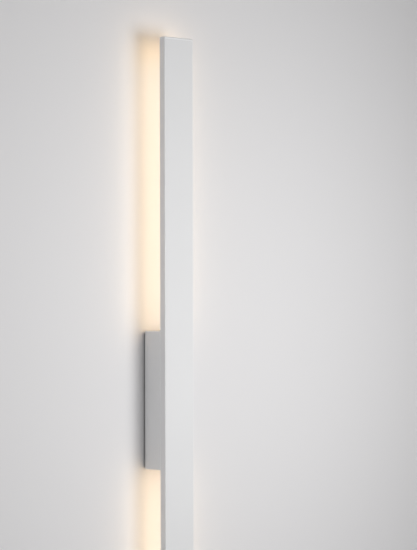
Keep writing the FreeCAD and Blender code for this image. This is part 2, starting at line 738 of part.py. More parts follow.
def terminal_block():
    """A three-pole block on the plate, with a brass clamp and two screws in each pole."""
    front = plate_y - block_depth
    low, high = -block_drop - block_height / 2, -block_drop + block_height / 2
    half = block_width / 2
    poles = (-pole_pitch, as_size(0), pole_pitch)
    half_clamp = clamp_block / 2
    passage = half_clamp + close_gap * 2
    screw_rows = (-block_drop + clamp_block_length / 3, -block_drop - clamp_block_length / 3)

    body = Body("terminal_block")
    body.front("Pad", front, plate_y).rectangle((-half, half), (low, high))
    tunnels = body.plan("Pocket", low, high)
    for x in poles:
        tunnels.rectangle((x - passage, x + passage), (mains_y - passage, mains_y + passage))
    wells = body.front("Pocket", front, mains_y)
    for x in poles:
        for z in screw_rows:
            wells.circle(x, z, terminal_head_radius + close_gap * 2)
    fixing = body.front("Pocket", front, plate_y)
    recess = body.front("Pocket", front, front + fixing_recess)
    for side in (1, -1):
        fixing.circle(pole_pitch / 2 * side, -block_drop, fixing_screw_radius + close_gap)
        recess.circle(pole_pitch / 2 * side, -block_drop, fixing_head_radius + close_gap)
    body.soften("Chamfer", close_gap * 10, along_y_at(half, block_drop - block_height / 2))
    body.soften("Chamfer", close_gap * 10, along_y_at(half, block_drop + block_height / 2))

    clamp_y = (mains_y - half_clamp, mains_y + half_clamp)
    clamp_z = (-block_drop - clamp_block_length / 2, -block_drop + clamp_block_length / 2)
    tip = mains_y - mains_wire - close_gap
    clamps, screws = [], []
    for i, x in enumerate(poles):
        solid = block(f"pole_{i}", (x - half_clamp, x + half_clamp), clamp_y, clamp_z)
        bore = rod(f"pole_bore_{i}", "+Z", clamp_bore, clamp_block_length * 2,
                   x, mains_y, -block_drop - clamp_block_length)
        threads = [rod(f"pole_thread_{i}{j}", "-Y", terminal_screw_radius + close_gap, clamp_block,
                       x, mains_y, z) for j, z in enumerate(screw_rows)]
        clamps.append(cut(f"pole_clamp_{i}", solid, [bore] + threads))
        for j, z in enumerate(screw_rows):
            screws.append(screw(f"pole_screw_{i}{j}", (terminal_head_radius, terminal_head_height),
                                (terminal_screw_radius, terminal_screw_reach), "-Y",
                                x, tip - terminal_screw_reach, z))
    group("terminal_clamps", clamps)
    group("terminal_screws", screws)

    seat = front + fixing_recess
    length = -seat - close_gap * 4
    fixings = [screw(f"block_screw_{side + 1}", (fixing_head_radius, fixing_head_height),
                     (fixing_screw_radius, length), "-Y", pole_pitch / 2 * side, seat, -block_drop)
               for side in (1, -1)]
    group("terminal_block_screws", fixings)


# ---------------------------------------------------------------- driver

def driver():
    """The power supply: a tray with ears screwed to the plate, a cover, and a board with its parts."""
    half = driver_width / 2
    tray_front = plate_y - driver_wall
    ear = driver_ear_width / 2

    base = Body("driver_base")
    base.front("Pad", tray_front, plate_y).rectangle((-half, half), (driver_bottom, driver_top))
    base.front("Pad", tray_front, plate_y).rectangle(
        (-ear, ear), (driver_bottom - driver_ear, driver_top + driver_ear))
    rib_out = half - circuit_margin - driver_wall
    ribs = base.front("Pad", tray_front - rib_height, tray_front)
    rib_span = (driver_bottom + driver_wall * 2, driver_top - driver_wall * 2)
    for side in (1, -1):
        ends = sorted((rib_out * side, (rib_out - rib_width) * side), key=lambda end: end.number)
        ribs.rectangle(ends, rib_span)
    holes = base.front("Pocket", tray_front, plate_y)
    for end in (1, -1):
        holes.circle(0, driver_ear_z(end), driver_screw_radius + close_gap)

    cover = Body("driver_cover")
    cover.front("Pad", driver_front, tray_front).rectangle((-half, half), (driver_bottom, driver_top))
    cover.soften("Fillet", driver_wall / 2, lambda edge: near(edge.BoundBox.YMax, driver_front))
    hollow = cover.front("Pocket", driver_front + driver_wall, tray_front)
    hollow_z = (driver_bottom + driver_wall, driver_top - driver_wall)
    hollow.rectangle((driver_wall - half, half - driver_wall), hollow_z)
    inlets = cover.plan("Pocket", driver_bottom, driver_bottom + driver_wall)
    inlets.circle(neutral_shift, mains_y, mains_wire + lead_hole_gap)
    inlets.circle(pole_pitch - live_shift, mains_y, mains_wire + lead_hole_gap)
    outlets = cover.plan("Pocket", driver_top - driver_wall, driver_top)
    for side in (1, -1):
        outlets.circle(output_spread * side, mains_y, lamp_wire + lead_hole_gap)

    board_half = half - circuit_margin
    board = Body("driver_board")
    board_span = (driver_bottom + circuit_margin, driver_top - circuit_margin)
    board.front("Pad", circuit_front, circuit_y).rectangle((-board_half, board_half), board_span)

    input_low = driver_bottom + circuit_margin + can_set
    output_z = driver_top - circuit_margin - can_set - output_can_radius
    middle = (input_low + input_can_length + output_z - output_can_radius) / 2
    core_half, core_long = transformer_width / 2, transformer_length / 2
    core_y = (circuit_front - transformer_height, circuit_front)
    coil_y = (circuit_front - transformer_height * 0.85, circuit_front)
    core = block("transformer_core", (-core_half, core_half), core_y,
                 (middle - core_long, middle + core_long))
    coil = block("transformer_coil", (-core_half * 0.6, core_half * 0.6), coil_y,
                 (middle - core_long * 1.5, middle + core_long * 1.5))
    sub_part("driver_transformer", join("driver_transformer", [core, coil]))
    sub_part("driver_input_capacitor", rod("driver_input_capacitor", "+Z", input_can_radius,
                                           input_can_length, -board_half / 2,
                                           circuit_front - input_can_radius, input_low))
    sub_part("driver_output_capacitor", rod("driver_output_capacitor", "-Y", output_can_radius,
                                            output_can_length, board_half / 2, circuit_front, output_z))

    shank = -tray_front - close_gap * 4
    screws = [screw(f"driver_screw_{end + 1}", (driver_head_radius, driver_head_height),
                    (driver_screw_radius, shank), "-Y", 0, tray_front, driver_ear_z(end))
              for end in (1, -1)]
    group("driver_screws", screws)


# ---------------------------------------------------------------- lamp connector and wires

def lamp_connector():
    """A plug and socket in front of the driver, so that the box can be lifted off its plate."""
    half, deep = plug_width / 2, plug_depth / 2
    plug_top = plug_bottom + plug_length
    socket_low = plug_top + close_gap
    nose_x = half - plug_wall - close_gap
    nose_y = deep - plug_wall - close_gap

    socket = Body("lamp_socket")
    span = (lamp_y - deep, lamp_y + deep)
    socket.plan("Pad", socket_low, socket_low + socket_length).rectangle((-half, half), span)
    mouth = socket.plan("Pocket", socket_low, socket_low + plug_nose + close_gap)
    mouth_y = (lamp_y - deep + plug_wall, lamp_y + deep - plug_wall)
    mouth.rectangle((plug_wall - half, half - plug_wall), mouth_y)
    entries = socket.plan("Pocket", socket_low + socket_length - plug_nose, socket_low + socket_length)
    plug = Body("lamp_plug")
    plug.plan("Pad", plug_bottom, plug_top).rectangle((-half, half), span)
    tip = plug.plan("Pad", plug_top, plug_top + plug_nose)
    tip.rectangle((-nose_x, nose_x), (lamp_y - nose_y, lamp_y + nose_y))
    leads = plug.plan("Pocket", plug_bottom, plug_bottom + plug_nose)
    for side in (1, -1):
        entries.circle(lead_spread * 2 * side, lamp_y, lamp_wire + close_gap)
        leads.circle(lead_spread * side, lamp_y, lamp_wire + close_gap)
    return socket_low + socket_length


def wires(barrel_y, barrel_top, socket_top):
    block_top = -block_drop + block_height / 2
    in_clamp = block_top - block_height / 4
    in_driver = driver_bottom + driver_wall * 3
    gap = driver_bottom - block_top
    for label, start_x, end_x in (("live_wire", pole_pitch, pole_pitch - live_shift),
                                  ("neutral_wire", as_size(0), neutral_shift)):
        wire(label, mains_wire, [(start_x, mains_y, in_clamp), (start_x, mains_y, block_top + gap * 0.2),
                                 (end_x, mains_y, driver_bottom - gap * 0.2), (end_x, mains_y, in_driver)])

    loop_z = block_top + gap * 0.6
    down_x = -(block_width / 2 + inner_side) / 2
    wire("earth_wire", mains_wire, [
        (-pole_pitch, mains_y, in_clamp), (-pole_pitch, mains_y, loop_z), (down_x, mains_y, loop_z),
        (down_x, mains_y, block_top - block_height), (-earth_side, barrel_y, barrel_top + barrel_length / 4),
        (-earth_side, barrel_y, barrel_top - barrel_length / 2)])

    loop_top = driver_top + driver_ear * 2
    for label, side in (("output_positive_wire", 1), ("output_negative_wire", -1)):
        start_x, end_x = output_spread * side, lead_spread * 2 * side
        wire(label, lamp_wire, [
            (start_x, mains_y, driver_top - driver_wall * 3), (start_x, mains_y, loop_top),
            (start_x, lamp_y, loop_top), (end_x, lamp_y, socket_top + driver_ear),
            (end_x, lamp_y, socket_top - plug_nose / 2)])

    for label, side in (("lead_positive_wire", 1), ("lead_negative_wire", -1)):
        x = lead_spread * side
        wire(label, lamp_wire, [(x, lamp_y, plug_bottom + plug_nose / 2), (x, lamp_y, 0), (x, bar_wire_y, 0),
                                (x, bar_wire_y, board_start + connector_length / 4)])

    for label, side in (("link_positive_wire", 1), ("link_negative_wire", -1)):
        x, end = link_spread * side, board_start + connector_length / 4
        wire(label, lamp_wire, [(x, bar_wire_y, -end), (x, bar_wire_y, end)])


# ---------------------------------------------------------------- the whole light

HALF_TURN = Rotation(Vector(0, 1, 0), 180)

bar_profile()
end_cap("top_end_cap", Rotation(), bar_half)
end_cap("bottom_end_cap", HALF_TURN, -bar_half)
end_cap_screws()
light_board("upper", Rotation())
light_board("lower", HALF_TURN)
clamp()
bar_grommet()
box_housing()
housing_screws()
wall_plate()
cable_grommet()
earth_end = earth_point()
terminal_block()
driver()
socket_end = lamp_connector()
wires(*earth_end, socket_end)

doc.recompute()
for thing in doc.Objects:
    if "Invalid" in thing.State or "Error" in thing.State:
        raise RuntimeError(f"{thing.Label} failed: {thing.State}")
for thing in sub_parts:
    if thing.Shape.isNull() or not thing.Shape.isValid():
        raise RuntimeError(f"{thing.Label} has no valid shape")
    thing.Shape.exportStep(os.path.join("parts", f"{thing.Label}.step"))
print(f"{len(sub_parts)} sub-parts, {sum(len(thing.Shape.Solids) for thing in sub_parts)} solids")
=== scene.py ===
# %% [markdown]
# # A slim wall light that shines back at its wall
# This lesson dresses a finished mechanical model of a wall light. A flat white bar stands off the
# wall on a box of the same width, and opal strips in its back throw warm light on the wall. The
# model's pieces come in at their real size and place, so the work here is finishes, light, wall
# and camera. Everything is in metres: +Z is up, +X is to the right seen from the front, and the
# wall is the plane y = 0.

import json
import math

import bpy
from mathutils import Matrix, Vector


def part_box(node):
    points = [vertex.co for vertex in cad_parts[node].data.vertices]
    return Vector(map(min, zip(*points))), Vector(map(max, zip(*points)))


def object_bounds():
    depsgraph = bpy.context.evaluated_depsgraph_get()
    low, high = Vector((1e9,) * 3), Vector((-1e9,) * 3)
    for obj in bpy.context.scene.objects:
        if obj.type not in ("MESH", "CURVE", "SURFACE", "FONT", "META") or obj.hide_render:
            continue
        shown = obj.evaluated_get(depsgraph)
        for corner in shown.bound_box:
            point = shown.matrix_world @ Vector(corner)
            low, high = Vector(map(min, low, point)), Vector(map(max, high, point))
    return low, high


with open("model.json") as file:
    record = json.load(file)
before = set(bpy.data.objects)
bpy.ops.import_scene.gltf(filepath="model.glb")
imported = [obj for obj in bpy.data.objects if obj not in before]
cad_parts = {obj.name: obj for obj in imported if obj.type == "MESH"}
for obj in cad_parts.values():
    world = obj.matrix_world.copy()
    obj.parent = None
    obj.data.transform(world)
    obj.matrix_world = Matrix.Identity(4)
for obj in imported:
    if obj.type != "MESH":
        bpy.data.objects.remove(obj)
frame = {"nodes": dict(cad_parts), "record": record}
cad_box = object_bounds()
nodes = frame["nodes"]
MM = 0.001
sides = [round(side / MM, 1) for side in cad_box[1] - cad_box[0]]
print(len(nodes), "pieces, overall", sides, "mm")

# %% [markdown]
# ## Helpers for finishes
# A real surface is never one flat colour. It could be painted on an image, but noise that is
# measured in millimetres on the object itself has the right scale at once, needs no unwrapping and
# stays put when the camera moves. So each finish here starts from a Principled shader and adds
# grain. One noise can drive colour, roughness and bump at once, or each can have its own.

# %% A finish and its grain
NOISE_LOW, NOISE_HIGH = 0.3, 0.7


def new_finish(name, colour, roughness, metallic=0.0, specular=0.5):
    """A material with a Principled shader whose even values are set on its own sockets."""
    material = bpy.data.materials.new(name)
    material.use_nodes = True
    shader = material.node_tree.nodes["Principled BSDF"]
    shader.inputs["Base Color"].default_value = (*colour, 1)
    shader.inputs["Roughness"].default_value = roughness
    shader.inputs["Metallic"].default_value = metallic
    shader.inputs["Specular IOR Level"].default_value = specular
    return material, material.node_tree, shader


def grain(tree, size_mm, stretch=(1, 1, 1), detail=2.0):
    """Noise whose spots are about size_mm across, drawn out where stretch is under 1."""
    place = tree.nodes.new("ShaderNodeTexCoord")
    mapping = tree.nodes.new("ShaderNodeMapping")
    noise = tree.nodes.new("ShaderNodeTexNoise")
    mapping.inputs["Scale"].default_value = stretch
    noise.inputs["Scale"].default_value = 1 / (size_mm * MM)
    noise.inputs["Detail"].default_value = detail
    tree.links.new(place.outputs["Object"], mapping.inputs["Vector"])
    tree.links.new(mapping.outputs["Vector"], noise.inputs["Vector"])
    return noise.outputs["Fac"]


def remap(tree, value, low, high, start=NOISE_LOW, end=NOISE_HIGH):
    """Stretches a value's span from start to end onto low to high. Most noise lies in that span."""
    node = tree.nodes.new("ShaderNodeMapRange")
    node.inputs["From Min"].default_value = start
    node.inputs["From Max"].default_value = end
    node.inputs["To Min"].default_value = low
    node.inputs["To Max"].default_value = high
    tree.links.new(value, node.inputs["Value"])
    return node.outputs["Result"]


def wire(tree, shader, colour=None, roughness=None, relief=None):
    """Joins what has been made for a finish to its shader's sockets."""
    for socket, value in (("Base Color", colour), ("Roughness", roughness), ("Normal", relief)):
        if value is not None:
            tree.links.new(value, shader.inputs[socket])


print("grain ready")

# %% Colours, sums and relief
def mix_colours(tree, amount, first, second):
    """The first colour where amount is 0, the second where it is 1."""
    node = tree.nodes.new("ShaderNodeMix")
    node.data_type = "RGBA"
    for socket, value in (("A", first), ("B", second)):
        target = next(s for s in node.inputs if s.name == socket and s.type == "RGBA")
        if isinstance(value, tuple):
            target.default_value = (*value, 1)
        else:
            tree.links.new(value, target)
    tree.links.new(amount, node.inputs["Factor"])
    return next(s for s in node.outputs if s.type == "RGBA")


def scaled(colour, share, lift=0.0):
    """A darker or lighter version of a colour, never past white."""
    return tuple(min(channel * share + lift, 1.0) for channel in colour)


def maths(tree, operation, first, second=None):
    """One step of arithmetic on numbers or sockets."""
    node = tree.nodes.new("ShaderNodeMath")
    node.operation = operation
    for socket, value in zip(node.inputs, (first, second)):
        if isinstance(value, (int, float)):
            socket.default_value = value
        elif value is not None:
            tree.links.new(value, socket)
    return node.outputs["Value"]


def bump(tree, height, depth_mm, below=None):
    """Turns a height into a relief of about depth_mm. below is another relief to lay it on."""
    node = tree.nodes.new("ShaderNodeBump")
    node.inputs["Distance"].default_value = depth_mm * MM
    node.inputs["Strength"].default_value = 1.0
    tree.links.new(height, node.inputs["Height"])
    if below is not None:
        tree.links.new(below, node.inputs["Normal"])
    return node.outputs["Normal"]


def edge_mask(tree, radius_mm, white_at):
    """White along sharp edges, where a rounded normal leaves the true one.

    white_at is the cosine of the angle between the two at which the mask is full."""
    rounded = tree.nodes.new("ShaderNodeBevel")
    rounded.samples = 4
    rounded.inputs["Radius"].default_value = radius_mm * MM
    true = tree.nodes.new("ShaderNodeNewGeometry")
    dot = tree.nodes.new("ShaderNodeVectorMath")
    dot.operation = "DOT_PRODUCT"
    tree.links.new(rounded.outputs["Normal"], dot.inputs[0])
    tree.links.new(true.outputs["Normal"], dot.inputs[1])
    return remap(tree, dot.outputs["Value"], 1.0, 0.0, start=white_at, end=1.0)


print("relief ready")

# %% [markdown]
# ## White powder coat
# The bar, its caps and the box are sprayed with dry powder that melts into an even, matt skin. From
# close by it has a faint orange-peel relief and a finer grain. An image would have to be unwrapped
# along a 900 mm bar, so noise on object coordinates suits it better. Along its thin edges the
# colour is lightened by a mask that finds them. This is a painted highlight: it stands in for the
# light that a rounder edge would catch, without a change to the shape.

# %% The coat, in white and in black
COAT_CLOUD_MM = 60.0
COAT_CLOUD_SHADE = 0.985
COAT_EDGE_MM = 1.4
COAT_EDGE_COSINE = 17 / 18
# How much the painted highlight along the edges lightens the coat's colour.
COAT_EDGE_HIGHLIGHT_GAIN, COAT_EDGE_HIGHLIGHT_LIFT = 1.17, 0.02
COAT_GRAIN_MM, COAT_GRAIN_DEPTH_MM = 0.35, 0.012
COAT_PEEL_MM, COAT_PEEL_DEPTH_MM = 1.6, 0.03
COAT_GLOSSIER, COAT_DULLER = 0.06, 0.07
COAT_WHITE = (0.79, 0.79, 0.795)
COAT_BLACK = (0.025, 0.025, 0.027)


def powder_coat(name, colour, roughness):
    material, tree, shader = new_finish(name, colour, roughness, specular=0.35)
    cloud = remap(tree, grain(tree, COAT_CLOUD_MM, detail=3.0), 0.0, 1.0)
    body = mix_colours(tree, cloud, scaled(colour, COAT_CLOUD_SHADE), colour)
    # Painted highlight: the colour is lightened along the edges, where a rounder edge would catch
    # more light.
    edges = edge_mask(tree, COAT_EDGE_MM, COAT_EDGE_COSINE)
    edge_highlight_colour = scaled(colour, COAT_EDGE_HIGHLIGHT_GAIN, lift=COAT_EDGE_HIGHLIGHT_LIFT)
    fine = grain(tree, COAT_GRAIN_MM)
    peel = bump(tree, grain(tree, COAT_PEEL_MM), COAT_PEEL_DEPTH_MM)
    wire(tree, shader, colour=mix_colours(tree, edges, body, edge_highlight_colour),
         roughness=remap(tree, fine, roughness - COAT_GLOSSIER, roughness + COAT_DULLER),
         relief=bump(tree, fine, COAT_GRAIN_DEPTH_MM, below=peel))
    return material


finishes = {
    "white_powder_coat": powder_coat("white_powder_coat", COAT_WHITE, 0.52),
    "black_powder_coat": powder_coat("black_powder_coat", COAT_BLACK, 0.6),
}
print("coats:", sorted(finishes))

# %% [markdown]
# ## Opal strips and LEDs
# Each strip of opal acrylic hides a row of LEDs and spreads their light. Seen from behind, the
# strip is brightest over each LED and along its middle, and a little dimmer near its edges. Tracing
# light through real opal plastic would be slow and noisy, so the strip glows by itself, with that
# pattern in it. Its own glow stays just under white, or the whole strip would show as a blank
# patch. Slim lamps that lie on it come with the other lights, and add the rest of the light on
# the wall.

# %% Where the LEDs are
LED_COUNT = 28
LED_LENGTH = 2.8 * MM
leds_low, leds_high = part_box("upper_leds")
led_pitch = (leds_high.z - leds_low.z - LED_LENGTH) / (LED_COUNT - 1)
first_led = leds_low.z + LED_LENGTH / 2
strip_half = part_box("upper_diffuser")[1].x
print("LEDs every", round(led_pitch / MM, 2), "mm, strip", round(2 * strip_half / MM, 1), "mm wide")

# %% The glowing strip
STRIP_COLOUR = (0.84, 0.83, 0.80)
STRIP_LIGHT = (1.0, 0.80, 0.60)
STRIP_GLOW = 0.47
STRIP_MIDDLE_GLOW, STRIP_EDGE_GLOW = 0.95, 0.62
SPOT_STRENGTH = 0.16
SPOT_REACH = 0.6
SATIN_MM, SATIN_DEPTH_MM = 0.5, 0.004
SATIN_GLOSSIER, SATIN_DULLER = 0.33, 0.43


def opal_acrylic():
    material, tree, shader = new_finish("opal_acrylic", STRIP_COLOUR, 0.38)
    place = tree.nodes.new("ShaderNodeTexCoord")
    split = tree.nodes.new("ShaderNodeSeparateXYZ")
    tree.links.new(place.outputs["Object"], split.inputs["Vector"])
    height = maths(tree, "ABSOLUTE", split.outputs["Z"])
    along = maths(tree, "SUBTRACT", height, first_led)
    wave = maths(tree, "COSINE", maths(tree, "MULTIPLY", along, 2 * math.pi / led_pitch))
    aside = maths(tree, "DIVIDE", maths(tree, "ABSOLUTE", split.outputs["X"]), strip_half)
    off_middle = maths(tree, "POWER", aside, 2.0)
    spot_fade = remap(tree, off_middle, 1.0, 0.0, start=0.0, end=SPOT_REACH)
    spots = maths(tree, "MULTIPLY", maths(tree, "MULTIPLY", wave, spot_fade), SPOT_STRENGTH)
    fall = remap(tree, off_middle, STRIP_MIDDLE_GLOW, STRIP_EDGE_GLOW, start=0.0, end=1.0)
    glow = maths(tree, "MULTIPLY", maths(tree, "ADD", fall, spots), STRIP_GLOW)
    shader.inputs["Emission Color"].default_value = (*STRIP_LIGHT, 1)
    tree.links.new(glow, shader.inputs["Emission Strength"])
    satin = grain(tree, SATIN_MM)
    wire(tree, shader, roughness=remap(tree, satin, SATIN_GLOSSIER, SATIN_DULLER),
         relief=bump(tree, satin, SATIN_DEPTH_MM))
    return material


finishes["opal_acrylic"] = opal_acrylic()
print("strip glow", STRIP_GLOW)

# %% [markdown]
# ## LEDs
# A white LED is a blue chip under a yellow dab of phosphor, so it looks yellow, slightly grainy,
# and glows warm. Nobody sees it unless a strip is taken out, so a faint glow is enough.

# %% The phosphor
PHOSPHOR_COLOUR = (0.92, 0.66, 0.18)
LED_LIGHT = (1.0, 0.72, 0.44)
LED_GLOW = 0.2
PHOSPHOR_GRAIN_MM, PHOSPHOR_DEPTH_MM = 0.12, 0.01
PHOSPHOR_SHADE = 0.85


def led_phosphor():
    material, tree, shader = new_finish("led_phosphor", PHOSPHOR_COLOUR, 0.3)
    speck = grain(tree, PHOSPHOR_GRAIN_MM, detail=4.0)
    darker = scaled(PHOSPHOR_COLOUR, PHOSPHOR_SHADE)
    wire(tree, shader, colour=mix_colours(tree, remap(tree, speck, 0, 1), darker, PHOSPHOR_COLOUR),
         relief=bump(tree, speck, PHOSPHOR_DEPTH_MM))
    shader.inputs["Emission Color"].default_value = (*LED_LIGHT, 1)
    shader.inputs["Emission Strength"].default_value = LED_GLOW
    return material


finishes["led_phosphor"] = led_phosphor()
print("LED glow", LED_GLOW)

# %% [markdown]
# ## Metals
# Screws, washers and the nut plate are zinc-plated steel, the outer screws stainless, and the
# terminals brass. Turning and rolling leave fine scratches, which could be drawn one by one, but
# noise that is stretched along one axis looks the same at this size. Handling leaves patches that
# shine a little less, and edges are rubbed bright.

# %% Zinc, stainless and brass
SCRATCH_MM, SCRATCH_DEPTH_MM = 0.25, 0.004
PATCH_MM, PATCH_SHADE = 6.0, 0.88
METAL_EDGE_MM, METAL_EDGE_COSINE, METAL_EDGE_GAIN = 0.25, 8 / 9, 1.15
METAL_GLOSSIER, METAL_DULLER = 0.07, 0.1


def metal(name, colour, roughness, stretch):
    material, tree, shader = new_finish(name, colour, roughness, metallic=1.0)
    lines = grain(tree, SCRATCH_MM, stretch=stretch, detail=4.0)
    patches = grain(tree, PATCH_MM, detail=3.0)
    body = mix_colours(tree, remap(tree, patches, 0, 1), scaled(colour, PATCH_SHADE), colour)
    edges = edge_mask(tree, METAL_EDGE_MM, METAL_EDGE_COSINE)
    wire(tree, shader, colour=mix_colours(tree, edges, body, scaled(colour, METAL_EDGE_GAIN)),
         roughness=remap(tree, patches, roughness - METAL_GLOSSIER, roughness + METAL_DULLER),
         relief=bump(tree, lines, SCRATCH_DEPTH_MM))
    return material


for name, colour, roughness, stretch in (
        ("zinc_plated_steel", (0.62, 0.64, 0.66), 0.32, (1, 1, 0.12)),
        ("stainless_steel", (0.58, 0.57, 0.55), 0.3, (1, 0.15, 1)),
        ("brass", (0.78, 0.55, 0.22), 0.28, (1, 1, 0.15))):
    finishes[name] = metal(name, colour, roughness, stretch)
print("metals: zinc, stainless, brass")

# %% [markdown]
# ## Plastics, rubber and insulation
# The inner pieces are moulded. Each could have a recipe of its own, but they differ only in
# colour, gloss and grain, so one recipe serves them all: a base colour with soft mottling, a
# roughness that varies, and the fine spark-eroded texture of a mould.

# %% Moulded pieces
MOTTLE_SHADE = 0.92
MOTTLE_GRAINS = 12
MOULD_GLOSS_CHANGE = 0.06


def moulded(name, colour, roughness, grain_mm, depth_mm):
    material, tree, shader = new_finish(name, colour, roughness, specular=0.45)
    cloud = remap(tree, grain(tree, grain_mm * MOTTLE_GRAINS, detail=3.0), 0, 1)
    texture = grain(tree, grain_mm)
    glossier, duller = roughness - MOULD_GLOSS_CHANGE, roughness + MOULD_GLOSS_CHANGE
    wire(tree, shader, colour=mix_colours(tree, cloud, scaled(colour, MOTTLE_SHADE), colour),
         roughness=remap(tree, texture, glossier, duller), relief=bump(tree, texture, depth_mm))
    return material


for name, colour, roughness, grain_mm, depth_mm in (
        ("white_solder_mask", (0.82, 0.82, 0.79), 0.35, 1.5, 0.004),
        ("heat_tape", (0.38, 0.41, 0.45), 0.85, 0.3, 0.02),
        ("black_rubber", (0.02, 0.02, 0.02), 0.7, 0.5, 0.015),
        ("white_nylon", (0.74, 0.72, 0.66), 0.5, 0.35, 0.01),
        ("driver_case", (0.60, 0.60, 0.58), 0.55, 0.3, 0.015),
        ("green_board", (0.02, 0.16, 0.05), 0.35, 0.8, 0.008),
        ("coil_tape", (0.66, 0.46, 0.03), 0.45, 2.0, 0.02),
        ("capacitor_sleeve", (0.02, 0.025, 0.04), 0.25, 1.0, 0.004),
        ("brown_insulation", (0.12, 0.045, 0.02), 0.42, 0.4, 0.006),
        ("blue_insulation", (0.02, 0.08, 0.35), 0.42, 0.4, 0.006),
        ("red_insulation", (0.40, 0.02, 0.015), 0.42, 0.4, 0.006),
        ("black_insulation", (0.015, 0.015, 0.016), 0.42, 0.4, 0.006)):
    finishes[name] = moulded(name, colour, roughness, grain_mm, depth_mm)
print("moulded finishes, with the others:", len(finishes))

# %% [markdown]
# ## Earth wire
# An earth wire is green with a yellow stripe wound along it, so that nobody takes it for another.
# The stripe could be its own mesh, but a wave with a sharp step between its two colours draws it
# on the wire as it is.

# %% Green with a yellow stripe
EARTH_GREEN = (0.05, 0.30, 0.04)
EARTH_YELLOW = (0.80, 0.62, 0.02)
STRIPE_MM = 20
STRIPE_FROM, STRIPE_TO = 0.62, 0.68
WIRE_GRAIN_MM = 0.4
WIRE_ROUGHNESS = 0.42


def earth_insulation():
    material, tree, shader = new_finish("earth_insulation", EARTH_GREEN, WIRE_ROUGHNESS)
    place = tree.nodes.new("ShaderNodeTexCoord")
    stripe = tree.nodes.new("ShaderNodeTexWave")
    stripe.bands_direction = "DIAGONAL"
    stripe.inputs["Scale"].default_value = 1 / (STRIPE_MM * MM)
    tree.links.new(place.outputs["Object"], stripe.inputs["Vector"])
    share = remap(tree, stripe.outputs["Fac"], 0, 1, start=STRIPE_FROM, end=STRIPE_TO)
    glossier, duller = WIRE_ROUGHNESS - MOULD_GLOSS_CHANGE, WIRE_ROUGHNESS + MOULD_GLOSS_CHANGE
    wire(tree, shader, colour=mix_colours(tree, share, EARTH_GREEN, EARTH_YELLOW),
         roughness=remap(tree, grain(tree, WIRE_GRAIN_MM), glossier, duller))
    return material


finishes["earth_insulation"] = earth_insulation()
print(len(finishes), "finishes")

# %% [markdown]
# ## Dress every piece
# The model's record says which finish each piece takes, so one loop dresses them all. Naming the
# pieces here once more would only give the two lists a chance to differ.

# %% Hand out the finishes
for part in frame["record"]["subparts"]:
    for slot in nodes[part["node"]].material_slots:
        slot.material = finishes[part["material_slot"]]

# %% [markdown]
# ## The wall and the floor
# The light needs a wall to shine on. A box or a room would do, but one large pale panel on a pale
# floor is enough. It lies a hair behind y = 0, because two surfaces in one plane would show
# through each other. From behind it would hide the light's back, so its material lets a look from
# behind pass: Light Path and Backfacing tell such rays apart. To a look that meets the floor
# straight, in a reflection or through glass, the floor is paler than its own light makes it. That
# leaves a pale ground in every view and still keeps the object's shadow.

# %% Flat stage pieces and their paint
ROLLER_MM, ROLLER_DEPTH_MM = 3.0, 0.02


def plane(name, corners, material):
    mesh = bpy.data.meshes.new(name)
    mesh.from_pydata([Vector(corner) for corner in corners], [], [range(len(corners))])
    mesh.materials.append(material)
    thing = bpy.data.objects.new(name, mesh)
    bpy.context.scene.collection.objects.link(thing)
    return thing


def paint(name, colour):
    """Matt paint with the fine relief that a roller leaves."""
    material, tree, shader = new_finish(name, colour, 0.9, specular=0.1)
    wire(tree, shader, relief=bump(tree, grain(tree, ROLLER_MM, detail=3.0), ROLLER_DEPTH_MM))
    return material, tree, shader


def blend_shaders(tree, amount, first, second):
    """The surface is the first shader where amount is 0, the second where it is 1."""
    mix = tree.nodes.new("ShaderNodeMixShader")
    tree.links.new(amount, mix.inputs["Fac"])
    tree.links.new(first, mix.inputs[1])
    tree.links.new(second, mix.inputs[2])
    output = next(node for node in tree.nodes if node.type.startswith("OUTPUT_"))
    tree.links.new(mix.outputs["Shader"], output.inputs["Surface"])


def looks(tree):
    """1 for a ray that shows this surface: straight, in a reflection or through glass."""
    rays = tree.nodes.new("ShaderNodeLightPath").outputs
    mirrored = maths(tree, "MAXIMUM", rays["Is Camera Ray"], rays["Is Glossy Ray"])
    return maths(tree, "MAXIMUM", mirrored, rays["Is Transmission Ray"])


print("paint ready")

# %% A wall that is there from the front only
WALL_COLOUR = (0.808, 0.799, 0.806)
WALL_HALF = 1.25
WALL_TOP = 1.35
WALL_SET = 0.2 * MM
FLOOR_DROP = 1.05


def paint_wall():
    material, tree, shader = paint("wall_paint", WALL_COLOUR)
    rays = tree.nodes.new("ShaderNodeLightPath").outputs
    side = tree.nodes.new("ShaderNodeNewGeometry").outputs
    from_behind = maths(tree, "MULTIPLY", rays["Is Camera Ray"], side["Backfacing"])
    passed = maths(tree, "MAXIMUM", from_behind, rays["Transparent Depth"])
    passed.node.use_clamp = True
    clear = tree.nodes.new("ShaderNodeBsdfTransparent")
    blend_shaders(tree, passed, shader.outputs["BSDF"], clear.outputs["BSDF"])
    return material


wall = plane("wall", [(-WALL_HALF, WALL_SET, -FLOOR_DROP), (WALL_HALF, WALL_SET, -FLOOR_DROP),
                      (WALL_HALF, WALL_SET, WALL_TOP), (-WALL_HALF, WALL_SET, WALL_TOP)],
             paint_wall())
print("wall faces", tuple(wall.data.polygons[0].normal))

# %% A pale floor
FLOOR_COLOUR = (0.78, 0.78, 0.78)
FLOOR_HALF = 16.0
FLOOR_PALE = 1.0
FLOOR_PALE_SHARE = 0.7


def paint_floor():
    material, tree, shader = paint("floor_paint", FLOOR_COLOUR)
    share = maths(tree, "MULTIPLY", looks(tree), FLOOR_PALE_SHARE)
    pale = tree.nodes.new("ShaderNodeEmission")
    pale.inputs["Strength"].default_value = FLOOR_PALE
    blend_shaders(tree, share, shader.outputs["BSDF"], pale.outputs["Emission"])
    return material


